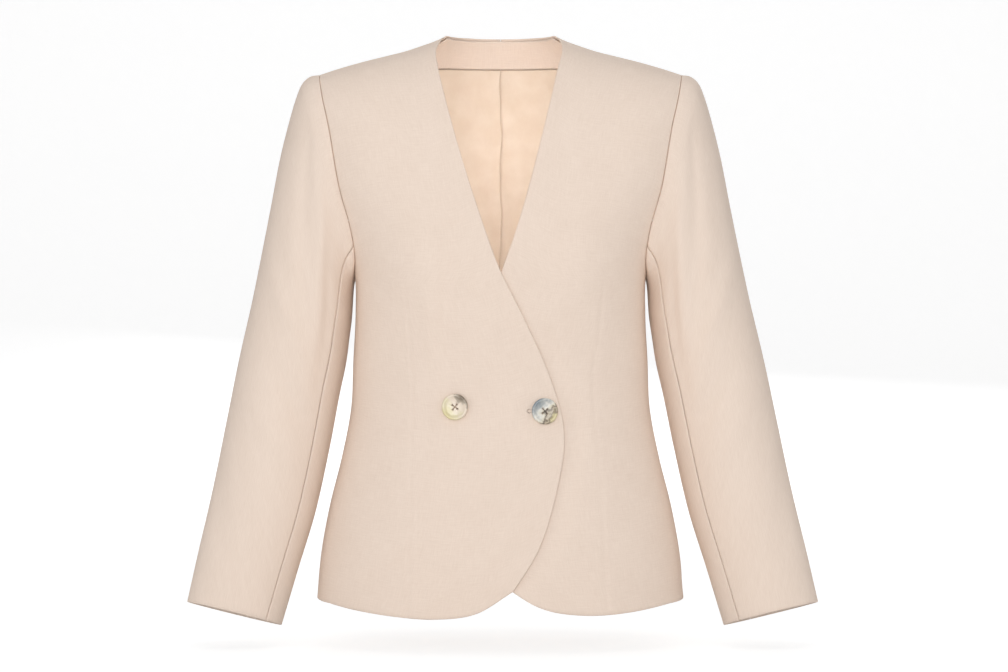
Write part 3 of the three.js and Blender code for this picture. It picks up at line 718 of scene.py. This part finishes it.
def lining_cloth():
    material, tree, shader = finish("lining_satin", Roughness=0.46)
    shader.inputs["Specular IOR Level"].default_value = 0.35
    shader.inputs["Sheen Weight"].default_value = 0.10
    place = node(tree, "ShaderNodeUVMap", {"uv_map": "thread"})
    cloudy = noise(tree, place, 38.0, 3.0)
    thread = noise(tree, stretched(tree, place, 3000, 240), 1.0, 2.0)
    ripple = noise(tree, stretched(tree, place, 90, 34), 1.0, 3.0)
    shade = (cloudy - 0.5) * 1.6 + (thread - 0.5) * 0.5 + 0.45
    feed(tree, shader, Base_Color=mix(tree, shade, LINING_LIGHT, LINING_DEEP))
    height = ripple + thread * 0.08
    bump = node(
        tree, "ShaderNodeBump", {}, {"Strength": 0.35, "Distance": 0.0022, "Height": height}
    )
    feed(tree, shader, Normal=bump)
    return material


LINING = lining_cloth()
column_share = (np.arange(2 * BACK_COLUMNS + 1) - BACK_COLUMNS) / BACK_COLUMNS
beside = smoothstep(7 / 12, 8 / 12, np.abs(column_share))
hem_share = 0.47 / 20
top_share = share_at_level(FACING_LEVEL - 2 * SEAM_GAP) * (1 - beside) + (1 - 0.3 / 20) * beside
LINING_ROWS = 150
run = np.linspace(0, 1, LINING_ROWS + 1)[:, None]
lining_grid, lining_normal = back_rows(hem_share + (top_share - hem_share)[None, :] * run)
wrinkle = creases(LINING_CREASES, lining_grid[..., 0], lining_grid[..., 2])
wrinkle *= smoothstep(0, 0.04, run) * (1 - smoothstep(0.97, 1.0, run))
PLEAT_DROP, PLEAT_WAVE = 0.0012, 0.0009
side_stop = int(round(BACK_COLUMNS * 11.7 / 12))
for word, piece_columns in (
    ("right", range(BACK_COLUMNS, BACK_COLUMNS + side_stop + 1)),
    ("left", range(BACK_COLUMNS - side_stop, BACK_COLUMNS + 7)),
):
    columns = np.array(piece_columns)
    base, normal = lining_grid[:, columns], lining_normal[:, columns]
    lift = -np.maximum(wrinkle[:, columns], -0.0012)
    drop = np.full(lift.shape, LINING_DROP)
    if word == "left":
        drop -= PLEAT_DROP * smoothstep(0.010, 0.0005, base[..., 0])
        lift = np.where(base[..., 0] < 0.004, 0, lift)
    else:
        wave = np.sin(base[..., 2] * 62) + 0.5 * np.sin(base[..., 2] * 151 + 1)
        wave *= PLEAT_WAVE * smoothstep(-0.02, 0, base[..., 0])
        base = base + np.stack([wave + 0.0003, 0 * wave, 0 * wave], axis=-1)
        drop += 0.0018 * smoothstep(-0.012, -0.001, base[..., 0])
    outside = base - normal * (drop - np.minimum(lift, 0.0))[..., None]
    piece = cloth_wall(f"lining_{word}_satin", outside, outside - normal * LINING_WALL)
    piece.data.materials.append(LINING)
    declare(piece, f"back_lining_{word}", outside)

# ------------------------------------------------------------------ sleeves
# Two-piece set-in sleeves in shell cloth: a top and an under sleeve, joined by a front
# and a back seam, rounding over a light pad at the shoulder and open at the cuff.
SLEEVE = table(
    "outer_across outer_level inner_across inner_level forward depth front_rise",
    (0.1990, -0.0170, 0.1606, -0.238, 0.000, 0.0660, 0.0),
    (0.2085, -0.0185, 0.1609, -0.242, 0.000, 0.0665, 0.0),
    (0.2170, -0.0255, 0.1612, -0.246, 0.000, 0.0665, 0.0),
    (0.2230, -0.0380, 0.1615, -0.251, 0.000, 0.0660, 0.0),
    (0.2310, -0.0640, 0.1619, -0.259, 0.000, 0.0655, 0.0),
    (0.2420, -0.1080, 0.1624, -0.270, 0.000, 0.0645, 0.0),
    (0.2520, -0.1600, 0.1636, -0.285, 0.001, 0.0630, 0.0),
    (0.2625, -0.2120, 0.1665, -0.305, 0.002, 0.0610, 0.0),
    (0.2740, -0.2660, 0.1710, -0.334, 0.003, 0.0585, 0.0),
    (0.2890, -0.3300, 0.1795, -0.372, 0.006, 0.0555, 0.0005),
    (0.3025, -0.3950, 0.1900, -0.425, 0.010, 0.0520, 0.0015),
    (0.3190, -0.4750, 0.2055, -0.494, 0.017, 0.0480, 0.0030),
    (0.3340, -0.5400, 0.2245, -0.556, 0.025, 0.0440, 0.0045),
    (0.3455, -0.5930, 0.2430, -0.618, 0.033, 0.0400, 0.0060),
)
RIGHT_CUFF_SHIFT = 0.005
CUFF = len(SLEEVE["depth"]) - 1.0
HEAD_STEPS = 5
FRONT_SEAM, BACK_SEAM = 136.0, -112.0
ARMHOLE_OUTWARD = np.array([0.983, 0.0, -0.182])
# Soft folds of a sleeve: from and to as turn and step, then width in metres and lift.
SLEEVE_CREASES = [
    (60, 3.0, 95, 7.5, 0.010, -0.0014),
    (95, 3.5, 120, 8.0, 0.009, 0.0016),
    (112, 5.0, 128, 9.0, 0.008, -0.0016),
    (40, 7.0, 110, 8.6, 0.012, 0.0012),
    (70, 8.8, 125, 9.8, 0.010, -0.0015),
    (50, 9.6, 120, 10.4, 0.011, 0.0011),
    (-60, 8.4, -105, 9.4, 0.012, 0.0016),
    (-50, 9.3, -100, 10.0, 0.011, -0.0016),
    (-80, 3.0, -70, 7.0, 0.014, -0.0016),
    (20, 10.5, 70, 12.0, 0.014, -0.0009),
]


def section_point(side, turn, step):
    steps = np.arange(CUFF + 1)
    value = {name: curve(steps, column, step) for name, column in SLEEVE.items()}
    a = np.radians(turn)
    reach = np.cos(a)
    across = (value["outer_across"] + value["inner_across"]) / 2
    level = (value["outer_level"] + value["inner_level"]) / 2
    x = across + reach * (value["outer_across"] - value["inner_across"]) / 2
    z = level + reach * (value["outer_level"] - value["inner_level"]) / 2
    z = z + value["front_rise"] * np.sin(a)
    if side < 0:
        x = x - RIGHT_CUFF_SHIFT * smoothstep(HEAD_STEPS, CUFF + 1, step)
    return np.stack([side * x, -value["forward"] - value["depth"] * np.sin(a), z], axis=-1)


def armhole_point(side, turn):
    around = np.mod(turn, 360)
    front = armhole_spot(side, False, np.minimum(around, 180))
    back = armhole_spot(side, True, np.clip(360 - around, 0, 180))
    spots = np.where((around > 180)[..., None], back, front)
    return torso_point(spots[..., 0], spots[..., 1])


def sleeve_surface(side):
    turns = np.linspace(-180, 360, 1081)
    armhole = armhole_point(side, turns)
    seam = armhole + ARMHOLE_OUTWARD * [side, 1, 1] * SEAM_GAP
    shift = seam - section_point(side, turns, 0 * turns)

    def surface(turn, step):
        turn, step = np.broadcast_arrays(np.asarray(turn, float), np.asarray(step, float))
        hold = 1 - smoothstep(0, HEAD_STEPS, step)
        start = np.stack([np.interp(turn, turns, shift[:, k]) for k in range(3)], axis=-1)
        return section_point(side, turn, np.clip(step, 0, CUFF)) + start * hold[..., None]

    return surface


SLEEVE_ROWS = 190
RADIUS_MEAN, STEP_LENGTH = 0.055, 0.045  # of a sleeve, from step to step
for side, word in ((-1, "right"), (1, "left")):
    surface = sleeve_surface(side)
    for kind, start, end, columns in (
        ("top", BACK_SEAM, FRONT_SEAM, 84),
        ("under", FRONT_SEAM, 360 + BACK_SEAM, 40),
    ):
        margin = math.degrees(SEAM_GAP / 2 / RADIUS_MEAN)
        turn = np.linspace(start + margin, end - margin, columns + 1)[None, :]
        step = (CUFF * np.linspace(0, 1, SLEEVE_ROWS + 1) ** 1.25)[:, None]
        turn, step = np.broadcast_arrays(turn, step)
        near = np.clip(step, 0.05, CUFF - 0.05)
        outer_side = section_point(side, 0 * near, near)
        middle = (outer_side + section_point(side, 0 * near + 180, near)) / 2
        normal = normal_of(surface, turn, near, middle)
        arc, length = np.radians(turn) * RADIUS_MEAN, step * STEP_LENGTH
        rows = []
        for turn0, step0, turn1, step1, width, lift in SLEEVE_CREASES:
            start_arc, end_arc = (math.radians(t) * RADIUS_MEAN for t in (turn0, turn1))
            rows.append(
                (start_arc, step0 * STEP_LENGTH, end_arc, step1 * STEP_LENGTH, width, lift)
            )
        rise = SLEEVE_FOLD_GAIN * creases(rows, arc, length) * smoothstep(0, 1.5, step)
        outside = surface(turn, step) + normal * rise[..., None]
        piece = cloth_wall(f"{word}_{kind}_sleeve_cloth", outside, outside - normal * SHELL_WALL)
        piece.data.materials.append(SHELL)
        declare(piece, f"{word}_{kind}_sleeve", outside)

# ------------------------------------------------------------------ buttons
# Two 28 mm four-hole buttons with a raised rim, turned from mottled horn-look resin. The
# fastening one goes through its buttonhole in the right front and is sewn with thread.
BUTTON_RADIUS, BUTTON_HIGH, BUTTON_SEAT = 0.014, 0.0044, 0.0008
HOLE_SPACING, HOLE_RADIUS = 0.0023, 0.0011
PROFILE = table(
    "share height",
    (0.0, 0.0), (0.80, 0.0), (0.86, 0.03), (0.93, 0.13), (0.98, 0.32), (1.0, 0.55),
    (0.99, 0.74), (0.955, 0.90), (0.90, 0.99), (0.85, 1.0), (0.80, 0.94), (0.75, 0.80),
    (0.70, 0.66), (0.62, 0.59), (0.40, 0.54), (0.0, 0.52),
)


def button_mesh(name):
    around = 96
    turn = np.linspace(0, 2 * math.pi, around, endpoint=False)
    rings = []
    for share, height in zip(PROFILE["share"][1:-1], PROFILE["height"][1:-1]):
        radius, z = share * BUTTON_RADIUS, height * BUTTON_HIGH
        rings.append(np.stack([radius * np.cos(turn), radius * np.sin(turn), 0 * turn + z], 1))
    count = len(rings)
    vertices = np.vstack(rings + [[[0, 0, 0]], [[0, 0, PROFILE["height"][-1] * BUTTON_HIGH]]])
    faces = []
    for r in range(count - 1):
        for k in range(around):
            n = (k + 1) % around
            low, high = r * around, (r + 1) * around
            faces.append([low + k, low + n, high + n, high + k])
    for k in range(around):
        n = (k + 1) % around
        faces.append([count * around, n, k])
        faces.append([count * around + 1, (count - 1) * around + k, (count - 1) * around + n])
    disc = new_piece(name, vertices, faces)
    for x in (-1, 1):
        for y in (-1, 1):
            bpy.ops.mesh.primitive_cylinder_add(
                vertices=28,
                radius=HOLE_RADIUS,
                depth=4 * BUTTON_HIGH,
                location=(x * HOLE_SPACING, y * HOLE_SPACING, 0),
            )
            drill = bpy.context.object
            cut = disc.modifiers.new("hole", "BOOLEAN")
            cut.operation = "DIFFERENCE"
            cut.object = drill
            cut.solver = "EXACT"
            graph = bpy.context.evaluated_depsgraph_get()
            holed = bpy.data.meshes.new_from_object(disc.evaluated_get(graph))
            disc.modifiers.clear()
            disc.data = holed
            bpy.data.objects.remove(drill)
    disc.data.name = name
    return disc


def horn(name, stops, centre, turn, sharp):
    """Mottled horn: wavering bands of a few colours, with fine cloudy streaks."""
    material, tree, shader = finish(name, Roughness=0.30)
    shader.inputs["Specular IOR Level"].default_value = 0.5
    shader.inputs["Coat Weight"].default_value = 0.25
    place = node(tree, "ShaderNodeTexCoord", {}, {}, out=3)
    middle = node(tree, "ShaderNodeMapping", {}, {"Vector": place, "Location": tuple(-centre)})
    turned = node(tree, "ShaderNodeMapping", {}, {"Vector": middle, "Rotation": (0, turn, 0)})
    wide = noise(tree, turned, 110.0, 2.0)
    parts = node(tree, "ShaderNodeSeparateXYZ", {}, {"Vector": turned})
    band = parts * 34.0 + (wide - 0.5) * sharp + 0.5
    streak = noise(tree, stretched(tree, turned, 260, 900), 1.0, 3.0)
    share = band + (streak - 0.5) * 0.25
    colour = node(tree, "ShaderNodeValToRGB", {"stops": stops}, {"Fac": share})
    feed(tree, shader, Base_Color=colour)
    return material


def thread_finish(name, colour):
    material, tree, shader = finish(name, Roughness=0.8)
    place = node(tree, "ShaderNodeTexCoord", {}, {}, out=3)
    twist = noise(tree, place, 2500.0, 2.0)
    deep = (*[c * 0.6 for c in colour[:3]], 1)
    feed(tree, shader, Base_Color=mix(tree, twist, colour, deep))
    return material


def stitch_mesh(name, stitches, radius):
    """Short threads, each arched over the cloth between its two ends."""
    vertices, faces = [], []
    for a, b, up, arch in stitches:
        a, b, up = Vector(a), Vector(b), Vector(up)
        across = (b - a).cross(up).normalized()
        for i in range(9):
            t = i / 8
            centre = a.lerp(b, t) + up * (arch * math.sin(math.pi * t))
            for k in range(8):
                turn = 2 * math.pi * k / 8
                size = radius * (0.35 if i in (0, 8) else 1)
                ring_place = across * (size * math.cos(turn)) + up * (size * math.sin(turn))
                vertices.append(centre + ring_place)
        base = len(vertices) - 72
        for i in range(8):
            for k in range(8):
                n = (k + 1) % 8
                row = base + 8 * i
                faces.append([row + k, row + n, row + 8 + n, row + 8 + k])
        faces.append([base + k for k in reversed(range(8))])
        faces.append([base + 64 + k for k in range(8)])
    return new_piece(name, np.array(vertices), faces)


def seat_of(across, level):
    place = spot(across, level)
    point = torso_point(place[0], place[1])
    normal = torso_normal(place[0], place[1])
    return Vector(point), Vector(normal)


def lay_on(piece, seat, normal, above):
    turn = Vector((0, 0, 1)).rotation_difference(normal).to_matrix().to_4x4()
    turn.translation = seat + normal * above
    piece.data.transform(turn)
    return turn


HORN_STOPS = [
    (0.00, (0.23, 0.27, 0.30)), (0.22, (0.42, 0.44, 0.43)), (0.40, (0.78, 0.76, 0.70)),
    (0.56, (0.70, 0.64, 0.50)), (0.68, (0.16, 0.12, 0.09)), (0.76, (0.55, 0.47, 0.34)),
    (0.88, (0.24, 0.19, 0.13)), (1.00, (0.66, 0.58, 0.33)),
]
PALE_STOPS = [
    (0.00, (0.72, 0.63, 0.34)), (0.30, (0.80, 0.72, 0.50)), (0.50, (0.83, 0.71, 0.58)),
    (0.72, (0.80, 0.68, 0.56)), (0.82, (0.45, 0.38, 0.30)), (1.00, (0.22, 0.17, 0.12)),
]
for node_name, across, level, slot, stops, turn, thread in (
    ("button_fastening", 0.047, -0.3835, "horn", HORN_STOPS, -0.64, (0.10, 0.075, 0.055, 1)),
    ("button_decorative", -0.048, -0.379, "pale_horn", PALE_STOPS, 0.80, (0.45, 0.33, 0.24, 1)),
):
    seat, normal = seat_of(across, level)
    disc = button_mesh(f"{node_name}_disc")
    disc.data.materials.clear()
    disc.data.materials.append(horn(f"{slot}_resin", stops, seat, turn, 0.9))
    matrix = lay_on(disc, seat, normal, BUTTON_SEAT)
    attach(disc, "root")
    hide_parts(node_name)
    top = BUTTON_HIGH * 0.54
    h = HOLE_SPACING
    lines = [
        ((-h, -h, top - 0.0009), (h, h, top - 0.0009)),
        ((-h, h, top - 0.0009), (h, -h, top - 0.0009)),
    ]
    stitches = [(a, b, (0, 0, 1), 0.0016) for a, b in lines]
    stitches += [
        ((a[0] + 0.0004, a[1], a[2]), (b[0] + 0.0004, b[1], b[2]), (0, 0, 1), 0.0014)
        for a, b in lines
    ]
    sewing = stitch_mesh(f"{node_name}_thread", stitches, 0.00028)
    sewing.data.materials.append(thread_finish(f"{node_name}_thread_finish", thread))
    sewing.data.transform(matrix)
    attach(sewing, "root")

# Buttonhole: a slit from under the button towards the centre, with a rounded end worked
# in fine dark stitches that fan out.
seat, normal = seat_of(0.0295, -0.3835)
side_way = Vector((1, 0, 0)) - normal * normal.x
side_way.normalize()
up_way = normal.cross(side_way).normalized()
stitches = []
for k in range(9):
    turn = math.radians(90 + 22.5 * k)
    way = side_way * math.cos(turn) + up_way * math.sin(turn)
    centre = seat + side_way * 0.0012
    stitches.append((centre + way * 0.0011, centre + way * 0.0029, normal, 0.0002))
for k in range(5):
    for sign in (-1, 1):
        start = seat + side_way * (0.0021 + 0.0010 * k) + up_way * (sign * 0.0007)
        stitches.append((start, start + up_way * (sign * 0.0015), normal, 0.0002))
buttonhole = stitch_mesh("buttonhole_stitches", stitches, 0.00012)
buttonhole.data.materials.append(thread_finish("buttonhole_thread", (0.32, 0.23, 0.17, 1)))
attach(buttonhole, "root")

# ------------------------------------------------------------------ studio
# A white floor just under the cuffs that runs up into a white wall, an even sky, large
# soft lamps around the jacket, and small ones inside it that light up the back lining.
FLOOR_LEVEL, FLOOR_HALF_WIDTH = -0.640, 9.0
floor_rows = [(-9.0, 0.0), (2.2, 0.0), (2.9, 0.09), (3.4, 0.38), (3.7, 0.9), (3.8, 4.0)]
bend = np.array(floor_rows)
fine = np.linspace(0, 1, 60)
run = np.concatenate([[0], np.cumsum(np.hypot(*np.diff(bend, axis=0).T))])
run /= run[-1]
depth_line, rise_line = (curve(run, bend[:, k], fine) for k in (0, 1))
vertices = np.array(
    [
        (x, y, FLOOR_LEVEL + max(z, 0.0))
        for y, z in zip(depth_line, rise_line)
        for x in (-FLOOR_HALF_WIDTH, FLOOR_HALF_WIDTH)
    ]
)
faces = [[2 * i, 2 * i + 1, 2 * i + 3, 2 * i + 2] for i in range(len(fine) - 1)]
backdrop = new_piece("studio_floor", vertices, faces)
paper = bpy.data.materials.new("studio_paper")
paper.use_nodes = True
tree = paper.node_tree
tree.nodes.clear()
path = tree.nodes.new("ShaderNodeLightPath")
seen = Wire(tree, path.outputs["Is Camera Ray"]) + Wire(tree, path.outputs["Is Glossy Ray"])
matt = node(tree, "ShaderNodeBsdfDiffuse", {}, {"Color": (0.86, 0.86, 0.86, 1)})
bright = node(tree, "ShaderNodeEmission", {}, {"Color": (1, 1, 1, 1), "Strength": 1.31})
share = seen * 0.6
both = node(tree, "ShaderNodeMixShader", {}, {0: share, 1: matt, 2: bright})
output = tree.nodes.new("ShaderNodeOutputMaterial")
tree.links.new(both.socket, output.inputs["Surface"])
backdrop.data.materials.append(paper)

SKY_LIGHT, SKY_SEEN = 0.27, 0.99
world = bpy.data.worlds.new("studio_sky")
world.use_nodes = True
world.node_tree.nodes["Background"].inputs["Color"].default_value = (1, 1, 1, 1)
tree = world.node_tree
path = tree.nodes.new("ShaderNodeLightPath")
sky = Wire(tree, path.outputs["Is Camera Ray"]) * (SKY_SEEN - SKY_LIGHT) + SKY_LIGHT
tree.links.new(sky.socket, tree.nodes["Background"].inputs["Strength"])
scene.world = world


def lamp(name, place, aim, size, power):
    light = bpy.data.lights.new(name, "AREA")
    light.shape = "RECTANGLE"
    light.size, light.size_y = size
    light.energy = power
    made = bpy.data.objects.new(name, light)
    made.location = place
    made.visible_camera = False
    made.rotation_euler = (Vector(aim) - Vector(place)).to_track_quat("-Z", "Y").to_euler()
    scene.collection.objects.link(made)


lamp("front_lamp", (-0.2, -3.4, 0.25), (0, 0, -0.25), (2.2, 1.8), 52)
for x in (-2.6, 2.6):
    lamp("side_lamp", (x, -1.6, 0.3), (0, 0, -0.3), (1.6, 2.0), 12)
for x in (-0.088, 0.088):
    lamp("inner_lamp", (x, -0.030, -0.11), (0, 0.08, -0.08), (0.04, 0.05), 0.050)
lamp("inner_lamp", (0, -0.060, -0.34), (0, 0.09, -0.15), (0.12, 0.04), 0.115)
lamp("top_lamp", (0.0, -0.2, 2.2), (0, 0, -0.3), (2.6, 2.0), 16)
lamp("back_lamp", (0.3, 2.9, 0.7), (0, 0, -0.3), (2.4, 1.8), 46)

scene.view_settings.view_transform = "Standard"
